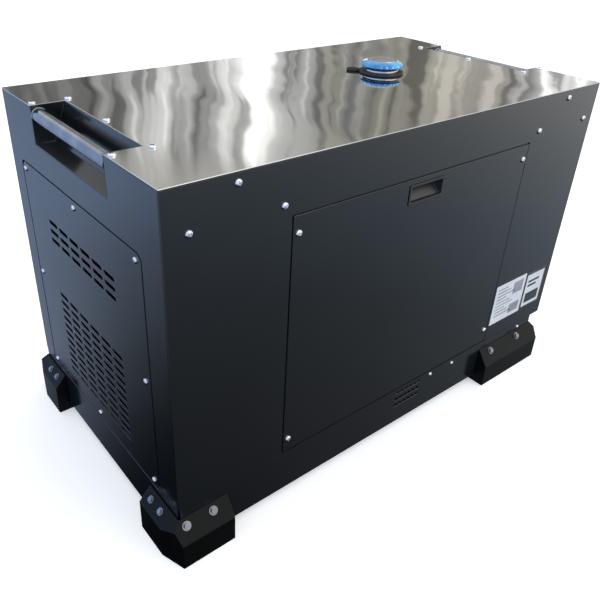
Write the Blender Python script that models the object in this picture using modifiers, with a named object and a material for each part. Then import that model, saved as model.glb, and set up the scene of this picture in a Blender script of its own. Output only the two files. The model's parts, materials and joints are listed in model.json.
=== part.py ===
"""Portable generator in a sheet-steel canopy: a base tray on four folded feet, a front with a lift-off
service door, vented ends with carrying bars, an air-cooled engine and alternator on rubber mounts, a fuel
tank under the top, and a control panel in the rear.

Metres, +Z up, +X along the front to the right, the front faces -Y. Pieces are placed in cabinet
coordinates: x from the left end, y from the front, z from the cabinet's lower edge. The parent empty puts
the middle of the whole object's footprint at the origin, with the feet standing on z = 0."""

import math

import bmesh
import bpy
from mathutils import Matrix, Vector

# ---------------------------------------------------------------- driving dimensions (m)
LENGTH = 1.100          # cabinet, left end to right end
WIDTH = 0.593           # cabinet, front to back
HEIGHT = 0.700          # cabinet, lower edge to top sheet
GROUND = 0.020          # ground clearance under the cabinet
SHEET = 0.002           # panel thickness
GAP = 0.0003            # between pieces that touch
BAND = 0.098            # height of the base tray's wall
BASE_END = 1.065        # right end of the base tray
TOP = HEIGHT - SHEET - GAP      # upper edge of the panels under the top sheet

FOOT_OUT = 0.028        # how far a foot stands out in front of the cabinet
FOOT_TOP = 0.077        # where its front plate meets the tray
FOOT_FOLD = 0.038       # where the front plate turns down
SIDE_OUT = 0.026        # how far a foot stands out past the tray's end
SIDE_TOP = 0.080        # where its side plate meets the cabinet's end
SIDE_FOLD = 0.050       # where the side plate turns down
FOOT_DEPTH = 0.100      # how far a foot reaches in under the tray
FOOT_CORNER = ((-0.009, -FOOT_OUT), (-SIDE_OUT, 0.022))     # the cut-off corner, in from end and front
FOOT_LENGTH = {"left": 0.102, "right": 0.210}               # in from the tray's end
OUTLET_OUT = 0.006      # how far the exhaust outlet reaches past the right end

DOOR_X = (0.232, 0.866)
DOOR_Z = (BAND + 0.0025, 0.602)
DOOR_REVEAL = (0.003, 0.001, 0.003)     # open joint left, right and above the door
FRAME_LAP = 0.027                       # how far the frame behind the door reaches past its edge
FRAME_LAP_OVER = 0.012                  # and inside its upper edge, over the finger pull
PULL_X = (0.505, 0.592)
PULL_Z = (0.5555, 0.5875)
PULL_DEPTH = 0.020

VENT_Y = (0.066, 0.541)
LEFT_VENT_Z = (0.092, 0.573)
RIGHT_VENT_Z = (0.118, 0.573)
VENT_CORNER = 0.015
VENT_REVEAL = 0.003
SURROUND_OUT = 0.022    # the surround behind a vent panel, past the panel's edge
SURROUND_IN = 0.042     # and inside it
SLOT = (0.038, 0.0085)
SLOT_Y0, SLOT_PITCH_Y, SLOT_COLUMNS = 0.187, 0.0466, 6
UPPER_ROWS = [0.445 + 0.019 * row for row in range(3)]
LOWER_ROWS = [0.137 + 0.0185 * row for row in range(11)]

RECESS_Y = (0.1625, 0.4475)             # hand recess, inside
RECESS_FLOOR = 0.631
RECESS_FLAT = 0.036                     # the floor's depth before it slants up
RECESS_DEPTH = 0.0625                   # depth at the top sheet
BAR_RADIUS = 0.013
BAR_X, BAR_Z = 0.0135, 0.681

FILLER = (0.732, 0.314)                 # filler and cap axis
NECK_RADIUS = 0.0325
NECK_COLLAR = 0.0377
CAP_RADIUS = 0.047
CAP_TOP = HEIGHT + 0.028
TETHER_TURN = 133       # direction of the tether's lug, in degrees from +X

CRANK = (0.300, 0.235)                  # crankshaft axis, y and z
CRANK_RADIUS = 0.022
RUNNING = 0.0010                        # radial room round the shaft
CRADLE_TOP = 0.0783

PANEL_X = (0.640, 1.040)                # control panel plate
PANEL_Z = (0.250, 0.605)
WINDOW = 0.020                          # its edge hidden behind the rear panel
FACE = WIDTH - SHEET - 2 * GAP          # outer face of the control panel
ON_FACE = FACE + GAP                    # where a device stands on it


# ---------------------------------------------------------------- scene and helpers
def clear_scene():
    for obj in list(bpy.data.objects):
        bpy.data.objects.remove(obj, do_unlink=True)


def new_collection(name):
    made = bpy.data.collections.new(name)
    bpy.context.scene.collection.children.link(made)
    return made


clear_scene()
PARTS = new_collection("portable_generator")
CUTTERS = new_collection("cutters")
CABINET = bpy.data.objects.new("cabinet_corner", None)
CABINET.location = ((SIDE_OUT - LENGTH - OUTLET_OUT) / 2, -WIDTH / 2, GROUND)
PARTS.objects.link(CABINET)


def material(name, colour, metallic, roughness):
    made = bpy.data.materials.new(name)
    made.use_nodes = True
    shader = made.node_tree.nodes["Principled BSDF"]
    shader.inputs["Base Color"].default_value = (*colour, 1.0)
    shader.inputs["Metallic"].default_value = metallic
    shader.inputs["Roughness"].default_value = roughness
    return made


PAINT = material("gloss_anthracite", (0.035, 0.040, 0.047), 0.0, 0.18)
MIRROR = material("polished_steel", (0.62, 0.62, 0.61), 1.0, 0.06)
BLACK = material("black_paint", (0.012, 0.012, 0.013), 0.0, 0.35)
STEEL = material("zinc_steel", (0.55, 0.56, 0.58), 1.0, 0.30)
CHROME = material("chrome", (0.80, 0.80, 0.82), 1.0, 0.08)
ALUMINIUM = material("cast_aluminium", (0.60, 0.61, 0.62), 1.0, 0.45)
IRON = material("cast_iron", (0.10, 0.10, 0.11), 0.6, 0.60)
RUBBER = material("rubber", (0.02, 0.02, 0.02), 0.0, 0.80)
PLASTIC = material("black_plastic", (0.03, 0.03, 0.03), 0.0, 0.45)
BLUE = material("blue_cap", (0.02, 0.30, 0.55), 0.2, 0.15)
TANK = material("tank_plastic", (0.06, 0.06, 0.065), 0.0, 0.50)
RED = material("stop_red", (0.55, 0.02, 0.02), 0.0, 0.30)
GREY = material("socket_grey", (0.30, 0.32, 0.34), 0.0, 0.45)
SCREEN = material("display_glass", (0.02, 0.04, 0.03), 0.0, 0.10)


def put(obj, surface=None):
    """Hangs an object in the cabinet's frame; without a material it is a cutter."""
    obj.parent = CABINET
    if surface is None:
        CUTTERS.objects.link(obj)
        obj.hide_render = True
        obj.display_type = "WIRE"
    else:
        PARTS.objects.link(obj)
        obj.data.materials.append(surface)
    return obj


def object_from(bm, name):
    mesh = bpy.data.meshes.new(name)
    bm.to_mesh(mesh)
    bm.free()
    return bpy.data.objects.new(name, mesh)


def soften(obj, width, segments=1):
    bevel = obj.modifiers.new("edges", "BEVEL")
    bevel.width = width
    bevel.segments = segments
    bevel.limit_method = "ANGLE"
    return obj


def box(name, low, high, surface=None):
    bm = bmesh.new()
    bmesh.ops.create_cube(bm, size=1.0)
    low, high = Vector(low), Vector(high)
    bmesh.ops.scale(bm, vec=high - low, verts=bm.verts)
    obj = object_from(bm, name)
    obj.location = (low + high) / 2
    return put(obj, surface)


def boxes(name, size, centres, turn=None):
    """One cutter or tool of several boxes of the same size, each at its centre."""
    bm = bmesh.new()
    for number, centre in enumerate(centres):
        made = bmesh.ops.create_cube(bm, size=1.0)["verts"]
        bmesh.ops.scale(bm, vec=Vector(size), verts=made)
        bmesh.ops.translate(bm, vec=Vector(centre), verts=made)
        if turn:
            bmesh.ops.rotate(bm, cent=(0, 0, 0), matrix=turn(number), verts=made)
    return put(object_from(bm, name))


def smooth(obj):
    obj.data.shade_smooth()
    obj.data.set_sharp_from_angle(angle=math.radians(35))
    return obj


def rod(name, start, end, radius, surface=None, sides=24):
    start, end = Vector(start), Vector(end)
    bm = bmesh.new()
    bmesh.ops.create_cone(
        bm, cap_ends=True, segments=sides, radius1=radius, radius2=radius, depth=(end - start).length
    )
    obj = smooth(object_from(bm, name))
    obj.location = (start + end) / 2
    obj.rotation_euler = (end - start).to_track_quat("Z", "Y").to_euler()
    return put(obj, surface)


def turned(name, profile, base, axis, surface=None, steps=32):
    """A profile of (radius, height) points, run down the outer side, turned about the axis from base."""
    mesh = bpy.data.meshes.new(name)
    points = [(radius, 0, height) for radius, height in profile]
    loop = [(i, (i + 1) % len(points)) for i in range(len(points))]
    edges = [(i, j) for i, j in loop if profile[i][0] or profile[j][0]]
    mesh.from_pydata(points, edges, [])
    obj = bpy.data.objects.new(name, mesh)
    obj.location = base
    obj.rotation_euler = Vector(axis).to_track_quat("Z", "Y").to_euler()
    screw = obj.modifiers.new("turn", "SCREW")
    screw.steps = screw.render_steps = steps
    screw.use_merge_vertices = True
    screw.merge_threshold = 0.00005
    screw.use_smooth_shade = True
    return put(obj, surface)


PLANES = {
    "X": Matrix(((0, 0, 1), (1, 0, 0), (0, 1, 0))),      # outline in y, z
    "Y": Matrix(((1, 0, 0), (0, 0, -1), (0, 1, 0))),     # outline in x, z
    "Z": Matrix.Identity(3),                             # outline in x, y
}


def plate(name, outline, axis, low, high, surface=None):
    """A flat outline given thickness from low to high along an axis."""
    curve = bpy.data.curves.new(name, "CURVE")
    curve.dimensions = "2D"
    curve.fill_mode = "BOTH"
    curve.extrude = (high - low) / 2
    spline = curve.splines.new("POLY")
    spline.points.add(len(outline) - 1)
    for point, (u, v) in zip(spline.points, outline):
        point.co = (u, v, 0, 1)
    spline.use_cyclic_u = True
    guide = bpy.data.objects.new(name, curve)
    bpy.context.scene.collection.objects.link(guide)
    graph = bpy.context.evaluated_depsgraph_get()
    mesh = bpy.data.meshes.new_from_object(guide.evaluated_get(graph))
    bpy.data.objects.remove(guide, do_unlink=True)
    bm = bmesh.new()
    bm.from_mesh(mesh)
    bmesh.ops.remove_doubles(bm, verts=bm.verts, dist=0.00001)
    bm.to_mesh(mesh)
    bm.free()
    mesh.name = name
    obj = bpy.data.objects.new(name, mesh)
    turn = PLANES[axis]
    obj.rotation_euler = turn.to_euler()
    obj.location = turn @ Vector((0, 0, (high + low) / 2 if axis != "Y" else -(high + low) / 2))
    return put(obj, surface)


def pipe(name, route, radius, surface, bend=0.03, steps=4):
    """A round pipe along straight runs joined by rounded bends."""
    points = [Vector(route[0])]
    for before, corner, after in zip(route, route[1:], route[2:]):
        corner = Vector(corner)
        inward = (Vector(before) - corner).normalized() * bend
        outward = (Vector(after) - corner).normalized() * bend
        for step in range(steps + 1):
            t = step / steps
            points.append(corner + inward * (1 - t) ** 2 + outward * t ** 2)
    points.append(Vector(route[-1]))
    curve = bpy.data.curves.new(name, "CURVE")
    curve.dimensions = "3D"
    curve.bevel_depth = radius
    curve.bevel_resolution = 4
    curve.use_fill_caps = True
    spline = curve.splines.new("POLY")
    spline.points.add(len(points) - 1)
    for point, place in zip(spline.points, points):
        point.co = (*place, 1)
    return put(bpy.data.objects.new(name, curve), surface)


def combine(obj, *tools, operation="DIFFERENCE"):
    for tool in tools:
        boolean = obj.modifiers.new(tool.name, "BOOLEAN")
        boolean.operation = operation
        boolean.object = tool
    return obj


def join(obj, *tools):
    return combine(obj, *tools, operation="UNION")


def rounded(low, high, radius, steps=4):
    """Outline of a rectangle with round corners."""
    points = []
    corners = [(high[0], high[1], 0), (low[0], high[1], 90), (low[0], low[1], 180), (high[0], low[1], 270)]
    for u, v, start in corners:
        centre_u = u - math.copysign(radius, u - (low[0] + high[0]) / 2)
        centre_v = v - math.copysign(radius, v - (low[1] + high[1]) / 2)
        for step in range(steps + 1):
            angle = math.radians(start + 90 * step / steps)
            points.append((centre_u + radius * math.cos(angle), centre_v + radius * math.sin(angle)))
    return points


def mirrored(x):
    return LENGTH - x


def at_end(left, near, far):
    """A range of x counted inwards from the left or the right end."""
    return (near, far) if left else (mirrored(far), mirrored(near))


# ---------------------------------------------------------------- base and feet
def base_tray():
    low = (2 * (SHEET + GAP), 0, 0)
    tray = box("base_tray", low, (BASE_END, WIDTH, BAND), PAINT)
    inside = box(
        "tray_inside",
        (low[0] + SHEET, SHEET, SHEET),
        (BASE_END - SHEET, WIDTH - SHEET, BAND + 0.05),
    )
    blocks = (0.5725, 0.6130)
    centres = [
        (middle + 0.0135 * (column - 1), 0, 0.0505 + 0.0175 * row)
        for middle in blocks
        for column in range(3)
        for row in range(3)
    ]
    return combine(tray, inside, boxes("tray_slots", (0.0095, 0.02, 0.0065), centres))


def foot(depth, side):
    """A folded foot that wraps the tray's corner: plates that slant out to the front and to the side,
    uprights below them that meet at a cut-off corner, and a sole."""
    name = f"foot_{depth}_{side}"
    length, over = FOOT_LENGTH[side], 0.02

    def along(u):
        return u if side == "left" else BASE_END - u

    def inward(v):
        return v if depth == "front" else WIDTH - v

    front = [(-FOOT_OUT, -GROUND), (-FOOT_OUT, FOOT_FOLD), (-GAP, FOOT_TOP), (FOOT_DEPTH, FOOT_TOP),
             (FOOT_DEPTH, -GROUND)]
    end = [(-SIDE_OUT, -GROUND - over), (-SIDE_OUT, SIDE_FOLD), (-GAP, SIDE_TOP), (length, SIDE_TOP),
           (length, -GROUND - over)]
    near, far = (Vector(place) for place in FOOT_CORNER)
    corner = [2 * near - far, 2 * far - near, near - Vector((0.1, 0.1))]
    shoe = plate(
        name, [(inward(v), z) for v, z in front], "X", *sorted((along(-SIDE_OUT - over), along(length + over))),
        BLACK,
    )
    sides = plate(
        name + "_sides", [(along(u), z) for u, z in end], "Y",
        *sorted((inward(-FOOT_OUT - over), inward(FOOT_DEPTH + over))),
    )
    combine(shoe, sides, operation="INTERSECT")
    cut = plate(name + "_corner", [(along(u), inward(v)) for u, v in corner], "Z", -0.05, 0.15)
    x = sorted((along(-GAP), along(length + over)))
    y = sorted((inward(-GAP), inward(FOOT_DEPTH + over)))
    seat = box(name + "_seat", (x[0], y[0], -GAP), (x[1], y[1], 0.2))
    return combine(shoe, cut, seat)


def feet():
    for side in FOOT_LENGTH:
        for depth in ("front", "rear"):
            foot(depth, side)


# ---------------------------------------------------------------- canopy
def top_cover():
    """The top sheet, notched at both ends for the hand recesses and pierced for the filler."""
    top = box("top_cover", (0, 0, HEIGHT - SHEET), (LENGTH, WIDTH, HEIGHT), MIRROR)
    y = (RECESS_Y[0] - SHEET - GAP, RECESS_Y[1] + SHEET + GAP)
    for left in (True, False):
        x = at_end(left, -0.02, RECESS_DEPTH + SHEET + GAP)
        notch = box(f"top_notch_{left}", (x[0], y[0], HEIGHT - 0.02), (x[1], y[1], HEIGHT + 0.02))
        combine(top, notch)
    hole = rod(
        "filler_hole", (*FILLER, HEIGHT - 0.02), (*FILLER, HEIGHT + 0.02), NECK_RADIUS + 0.0015, sides=32
    )
    return combine(top, hole)


def front_panel():
    left = DOOR_X[0] - DOOR_REVEAL[0]
    right = DOOR_X[1] + DOOR_REVEAL[1]
    over = DOOR_Z[1] + DOOR_REVEAL[2]
    foot_line = BAND + GAP
    outline = [
        (0, foot_line), (left, foot_line), (left, over), (right, over), (right, foot_line),
        (LENGTH, foot_line), (LENGTH, TOP), (0, TOP),
    ]
    return plate("front_panel", outline, "Y", 0, SHEET, PAINT)


def door_frame():
    """The frame behind the door's edge, which its four screws bite into."""
    y = (SHEET + GAP, 2 * SHEET + GAP)
    lap = FRAME_LAP
    frame = box(
        "door_frame", (DOOR_X[0] - lap, y[0], DOOR_Z[0] - lap), (DOOR_X[1] + lap, y[1], DOOR_Z[1] + lap), PAINT
    )
    opening = box(
        "door_opening",
        (DOOR_X[0] + lap, -0.02, DOOR_Z[0] + lap),
        (DOOR_X[1] - lap, 0.02, DOOR_Z[1] - FRAME_LAP_OVER),
    )
    return combine(frame, opening)


def service_door():
    door = box("service_door", (DOOR_X[0], 0, DOOR_Z[0]), (DOOR_X[1], SHEET, DOOR_Z[1]), PAINT)
    hole = box("pull_hole", (PULL_X[0], -0.02, PULL_Z[0]), (PULL_X[1], 0.02, PULL_Z[1]))
    return combine(door, hole)


def door_pull_cup():
    """A flush plastic finger pull: a thin rim on the door's face and a cup behind it."""
    rim, wall = 0.004, 0.002
    cup = box(
        "door_pull_cup",
        (PULL_X[0] - rim, -0.0018, PULL_Z[0] - rim),
        (PULL_X[1] + rim, -GAP, PULL_Z[1] + rim),
        PLASTIC,
    )
    inset = 0.0004
    shell = box(
        "pull_shell",
        (PULL_X[0] + inset, -0.0012, PULL_Z[0] + inset),
        (PULL_X[1] - inset, PULL_DEPTH, PULL_Z[1] - inset),
    )
    hollow = box(
        "pull_hollow",
        (PULL_X[0] + wall, -0.02, PULL_Z[0] + wall),
        (PULL_X[1] - wall, PULL_DEPTH - wall, PULL_Z[1] - wall),
    )
    return combine(join(cup, shell), hollow)


def rear_panel():
    panel = box("rear_panel", (0, WIDTH - SHEET, BAND + GAP), (LENGTH, WIDTH, TOP), PAINT)
    window = box(
        "panel_window",
        (PANEL_X[0] + WINDOW, WIDTH - 0.05, PANEL_Z[0] + WINDOW),
        (PANEL_X[1] - WINDOW, WIDTH + 0.05, PANEL_Z[1] - WINDOW),
    )
    centres = [(x, WIDTH, 0.200 + 0.032 * row) for x in (0.200, 0.400) for row in range(8)]
    return combine(panel, window, boxes("rear_louvres", (0.150, 0.05, 0.010), centres))


def end_panel(name, left):
    """An end sheet with a surround round the vent opening and a notch for the hand recess."""
    vent_z = LEFT_VENT_Z if left else RIGHT_VENT_Z
    low = 0 if left else BAND + GAP
    y = (SHEET + GAP, WIDTH - SHEET - GAP)
    near, far = RECESS_Y[0] - SHEET - GAP, RECESS_Y[1] + SHEET + GAP
    under = RECESS_FLOOR - SHEET - GAP
    outline = [
        (y[0], low), (y[1], low), (y[1], TOP), (far, TOP), (far, under), (near, under), (near, TOP), (y[0], TOP)
    ]
    panel = plate(name, outline, "X", *at_end(left, 0, SHEET), PAINT)
    reveal, lap, out = VENT_REVEAL, SURROUND_IN, SURROUND_OUT
    edge_low = (VENT_Y[0] - reveal, vent_z[0] - reveal)
    edge_high = (VENT_Y[1] + reveal, vent_z[1] + reveal)
    opening = plate(
        name + "_opening", rounded(edge_low, edge_high, VENT_CORNER), "X", *at_end(left, -0.02, 0.02)
    )
    inner = at_end(left, SHEET / 2, 2 * SHEET)
    surround = box(
        name + "_surround",
        (inner[0], VENT_Y[0] - out, vent_z[0] - (out if left else 0.014)),
        (inner[1], VENT_Y[1] + out, vent_z[1] + out),
    )
    recess = at_end(left, -0.02, SHEET + GAP)
    seat = box(name + "_seat", (recess[0], *edge_low), (recess[1], *edge_high))
    gone = at_end(left, -0.03, 0.03)
    through = box(
        name + "_through",
        (gone[0], VENT_Y[0] + lap, vent_z[0] + lap),
        (gone[1], VENT_Y[1] - lap, vent_z[1] - lap),
    )
    combine(panel, opening)
    join(panel, surround)
    combine(panel, seat, through)
    if not left:
        step = 0.0005
        sill = box(
            name + "_sill",
            (BASE_END + GAP, y[0] + step, low + step),
            (mirrored(SHEET / 2), y[1] - step, low + step + SHEET),
        )
        join(panel, sill)
    return panel


def vent_panel(name, left):
    vent_z = LEFT_VENT_Z if left else RIGHT_VENT_Z
    x = at_end(left, 0, SHEET)
    outline = rounded((VENT_Y[0], vent_z[0]), (VENT_Y[1], vent_z[1]), VENT_CORNER)
    panel = plate(name, outline, "X", *x, PAINT)
    columns = [SLOT_Y0 + SLOT_PITCH_Y * column for column in range(SLOT_COLUMNS)]
    if left:
        centres = [(x[0], y, z) for z in UPPER_ROWS + LOWER_ROWS for y in columns]
        return combine(panel, boxes(name + "_slots", (0.02, *SLOT), centres))
    centres = [(x[0], y, z) for z in (0.480, 0.505, 0.530) for y in (0.200, 0.407)]
    centres += [(x[0], y, z) for z in (0.160, 0.185, 0.210, 0.235) for y in (0.200, 0.407)]
    outlet = rod(name + "_outlet", (LENGTH - 0.02, 0.400, 0.360), (LENGTH + 0.02, 0.400, 0.360), 0.036)
    return combine(panel, boxes(name + "_slots", (0.02, 0.160, 0.010), centres), outlet)


def handle_recess(name, left):
    """A folded tray open at the top and at the end face, its back wall slanting up to the top sheet."""
    turn = (lambda x: x) if left else mirrored
    shell = [(0, RECESS_FLOOR - SHEET), (RECESS_FLAT + SHEET, RECESS_FLOOR - SHEET),
             (RECESS_DEPTH + SHEET, HEIGHT), (0, HEIGHT)]
    rise = (HEIGHT - RECESS_FLOOR) / (RECESS_DEPTH - RECESS_FLAT)
    over = 0.03
    hollow = [(-over, RECESS_FLOOR), (RECESS_FLAT, RECESS_FLOOR),
              (RECESS_DEPTH + over / rise, HEIGHT + over), (-over, HEIGHT + over)]
    tray = plate(
        name, [(turn(x), z) for x, z in shell], "Y", RECESS_Y[0] - SHEET, RECESS_Y[1] + SHEET, PAINT
    )
    inside = plate(name + "_inside", [(turn(x), z) for x, z in hollow], "Y", *RECESS_Y)
    return combine(tray, inside)


def handle_bar(name, left):
    x = BAR_X if left else mirrored(BAR_X)
    return rod(
        name, (x, RECESS_Y[0] + GAP, BAR_Z), (x, RECESS_Y[1] - GAP, BAR_Z), BAR_RADIUS, STEEL, sides=28
    )


# ---------------------------------------------------------------- fuel
def fuel_tank():
    tank = soften(box("fuel_tank", (0.530, 0.090, 0.500), (0.930, 0.500, 0.672), TANK), 0.012, 2)
    bore = rod("tank_bore", (*FILLER, 0.640), (*FILLER, 0.700), NECK_RADIUS + 0.001, sides=32)
    combine(tank, bore)
    for name, x in (("tank_bar_left", 0.600), ("tank_bar_right", 0.840)):
        box(name, (x, 2 * (SHEET + GAP), 0.4840), (x + 0.020, FACE - SHEET - GAP, 0.4997), STEEL)


def filler():
    top, axis = HEIGHT, (*FILLER, 0)
    turned(
        "filler_neck",
        [(NECK_COLLAR, top + 0.0100), (NECK_COLLAR, top + GAP), (NECK_RADIUS, top + GAP),
         (NECK_RADIUS, 0.650), (0.029, 0.650), (0.029, top + 0.0100)],
        axis, (0, 0, 1), CHROME,
    )
    turned(
        "cap_seal",
        [(0.0365, top + 0.0125), (0.0365, top + 0.0103), (0.0275, top + 0.0103), (0.0275, top + 0.0125)],
        axis, (0, 0, 1), RUBBER,
    )
    turned(
        "fuel_cap",
        [(0, CAP_TOP), (0.030, CAP_TOP), (0.040, CAP_TOP - 0.004), (0.0455, CAP_TOP - 0.008),
         (CAP_RADIUS, CAP_TOP - 0.0115), (0.0455, top + 0.0145), (0.0395, top + 0.0128), (0.026, top + 0.0128),
         (0.026, top - 0.010), (0, top - 0.010)],
        axis, (0, 0, 1), BLUE,
    )
    loop = turned(
        "cap_tether",
        [(0.0490, top + 0.0040), (0.0490, top + GAP), (0.0385, top + GAP), (0.0385, top + 0.0040)],
        axis, (0, 0, 1), RUBBER,
    )
    turn = Matrix.Rotation(math.radians(TETHER_TURN), 2)
    lug = [(0.0465, -0.009), (0.0765, -0.009), (0.0765, 0.009), (0.0465, 0.009)]
    outline = [Vector(FILLER) + turn @ Vector(place) for place in lug]
    join(loop, plate("tether_lug", outline, "Z", top + GAP, top + 0.0055))


# ---------------------------------------------------------------- engine and alternator
def rails_and_mounts():
    for name, y in (("engine_rail_front", 0.140), ("engine_rail_rear", 0.420)):
        web, depth, height, low = 0.004, 0.040, 0.038, SHEET + GAP
        channel = [
            (y, low), (y + depth, low), (y + depth, low + web), (y + web, low + web),
            (y + web, low + height - web), (y + depth, low + height - web), (y + depth, low + height),
            (y, low + height),
        ]
        plate(name, channel, "X", 0.160, 0.860, STEEL)
    for row, y in (("front", 0.160), ("rear", 0.440)):
        for end, x in (("left", 0.220), ("right", 0.800)):
            rod(f"engine_mount_{row}_{end}", (x, y, 0.0406), (x, y, 0.0700), 0.018, RUBBER, sides=20)
    box("engine_cradle", (0.180, 0.130, 0.0703), (0.840, 0.470, CRADLE_TOP), STEEL)


def engine():
    y, z = CRANK
    block = soften(
        box("engine_block", (0.200, y - 0.110, CRADLE_TOP + GAP), (0.470, y + 0.110, 0.330), ALUMINIUM), 0.010
    )
    bore = rod("crank_bore", (0.150, y, z), (0.520, y, z), CRANK_RADIUS + RUNNING)
    combine(block, bore)
    for number, x in ((1, 0.220), (2, 0.350)):
        base, fins, pitch, thick = 0.3303, 6, 0.0215, 0.007
        outline = [(y + 0.050, base)]
        for fin in range(fins):
            low = base + 0.008 + pitch * fin
            outline += [(y + 0.050, low), (y + 0.065, low), (y + 0.065, low + thick), (y + 0.050, low + thick)]
        outline.append((y + 0.050, 0.4597))
        outline += [(2 * y - v, w) for v, w in reversed(outline)]
        plate(f"cylinder_{number}", outline, "X", x, x + 0.100, ALUMINIUM)
        head = box(
            f"cylinder_head_{number}", (x - 0.005, y - 0.060, 0.4600), (x + 0.105, y + 0.060, 0.5200), ALUMINIUM
        )
        soften(head, 0.006)


def rotating_group():
    y, z = CRANK
    rod("crankshaft", (0.100, y, z), (0.4995, y, z), CRANK_RADIUS, STEEL)
    fan = rod("flywheel_fan", (0.158, y, z), (0.164, y, z), 0.125, ALUMINIUM, sides=36)
    hub = rod("fan_hub", (0.120, y, z), (0.170, y, z), 0.036)
    blades = boxes(
        "fan_blades", (0.036, 0.088, 0.004), [(0.142, 0.078, 0)] * 12,
        turn=lambda number: Matrix.Rotation(math.radians(30 * number), 3, "X"),
    )
    blades.location = (0, y, z)
    join(fan, hub, blades)
    combine(fan, rod("fan_bore", (0.090, y, z), (0.200, y, z), CRANK_RADIUS + GAP))
    turned(
        "fan_shroud",
        [(0.165, 0.003), (0.165, 0), (0.139, 0), (0.139, 0.090), (0.142, 0.090), (0.142, 0.003)],
        (0.100, y, z), (1, 0, 0), PLASTIC, steps=36,
    )
    turned(
        "alternator_rotor",
        [(0, 0.290), (0.020, 0.290), (0.020, 0.235), (0.084, 0.235), (0.084, 0.045), (0.020, 0.045),
         (0.020, 0), (0, 0)],
        (0.4998, y, z), (1, 0, 0), IRON, steps=28,
    )
    housing = rod("alternator_housing", (0.515, y, z), (0.765, y, z), 0.125, ALUMINIUM, sides=32)
    stand = box("alternator_stand", (0.530, y - 0.080, CRADLE_TOP + GAP), (0.750, y + 0.080, 0.200))
    join(housing, stand)
    combine(housing, rod("stator_bore", (0.500, y, z), (0.800, y, z), 0.090, sides=32))


def ancillaries():
    pipe(
        "exhaust_pipe",
        [(0.400, 0.2395, 0.480), (0.400, 0.160, 0.480), (0.470, 0.160, 0.435), (0.835, 0.160, 0.435),
         (0.835, 0.160, 0.360), (0.8945, 0.160, 0.360)],
        0.016, STEEL,
    )
    muffler = rod("muffler", (0.970, 0.120, 0.360), (0.970, 0.480, 0.360), 0.075, STEEL, sides=28)
    chamber = rod("muffler_chamber", (0.970, 0.123, 0.360), (0.970, 0.477, 0.360), 0.072, sides=28)
    outlet = rod("muffler_outlet", (1.000, 0.400, 0.360), (1.080, 0.400, 0.360), 0.020)
    combine(muffler, chamber, outlet)
    start = 1.0460
    reach = LENGTH + OUTLET_OUT - start
    turned(
        "exhaust_outlet",
        [(0.024, reach), (0.024, 0), (0.021, 0), (0.021, reach)],
        (start, 0.400, 0.360), (1, 0, 0), STEEL, steps=24,
    )
    filter_box = soften(box("air_filter", (0.240, 0.430, 0.380), (0.450, 0.560, 0.510), PLASTIC), 0.010)
    join(filter_box, box("filter_snout", (0.365, 0.3605, 0.465), (0.435, 0.445, 0.500)))
    battery = soften(box("battery", (0.865, 0.050, SHEET + GAP), (1.045, 0.225, 0.185), PLASTIC), 0.004)
    for x in (0.890, 1.020):
        join(battery, rod(f"battery_post_{x:.2f}", (x, 0.075, 0.180), (x, 0.075, 0.198), 0.008, sides=16))


# ---------------------------------------------------------------- control panel
def control_panel():
    box("control_panel", (PANEL_X[0], FACE - SHEET, PANEL_Z[0]), (PANEL_X[1], FACE, PANEL_Z[1]), BLACK)
    soften(box("display", (0.905, ON_FACE, 0.505), (0.995, ON_FACE + 0.008, 0.560), SCREEN), 0.0015)


def key_switch():
    x, z, depth = 0.860, 0.535, 0.009
    turned(
        "key_switch",
        [(0.014, depth), (0.014, 0), (0, 0), (0, 0.002), (0.008, 0.002), (0.008, depth)],
        (x, ON_FACE, z), (0, 1, 0), CHROME, steps=24,
    )
    key = rod("key", (x, ON_FACE + 0.0025, z), (x, ON_FACE + 0.012, z), 0.0062, STEEL, sides=20)
    bow = box("key_bow", (x - 0.0015, ON_FACE + 0.010, z - 0.010), (x + 0.0015, ON_FACE + 0.024, z + 0.010))
    join(key, bow)


def stop_switch():
    x, z, depth = 0.790, 0.535, 0.010
    turned(
        "stop_base",
        [(0.024, depth), (0.024, 0), (0, 0), (0, 0.001), (0.0095, 0.001), (0.0095, depth)],
        (x, ON_FACE, z), (0, 1, 0), GREY, steps=28,
    )
    turned(
        "stop_button",
        [(0, 0.0245), (0.013, 0.0245), (0.019, 0.0215), (0.020, 0.018), (0.020, 0.0155), (0.0085, 0.0155),
         (0.0085, 0.0065), (0, 0.0065)],
        (x, ON_FACE, z), (0, 1, 0), RED, steps=28,
    )


def breaker():
    x, z = 0.705, 0.520
    body = box("breaker_body", (x - 0.018, ON_FACE, z - 0.040), (x + 0.018, ON_FACE + 0.012, z + 0.040), GREY)
    well = box("breaker_well", (x - 0.008, ON_FACE + 0.002, z - 0.018), (x + 0.008, ON_FACE + 0.03, z + 0.018))
    combine(soften(body, 0.001), well)
    bm = bmesh.new()
    bmesh.ops.create_cube(bm, size=1.0)
    bmesh.ops.scale(bm, vec=(0.013, 0.015, 0.008), verts=bm.verts)
    bmesh.ops.translate(bm, vec=(0, 0.0055, 0), verts=bm.verts)
    toggle = object_from(bm, "breaker_toggle")
    toggle.location = (x, ON_FACE + 0.0083, z)
    toggle.rotation_euler = (math.radians(-25), 0, 0)
    put(toggle, PLASTIC)


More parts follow.
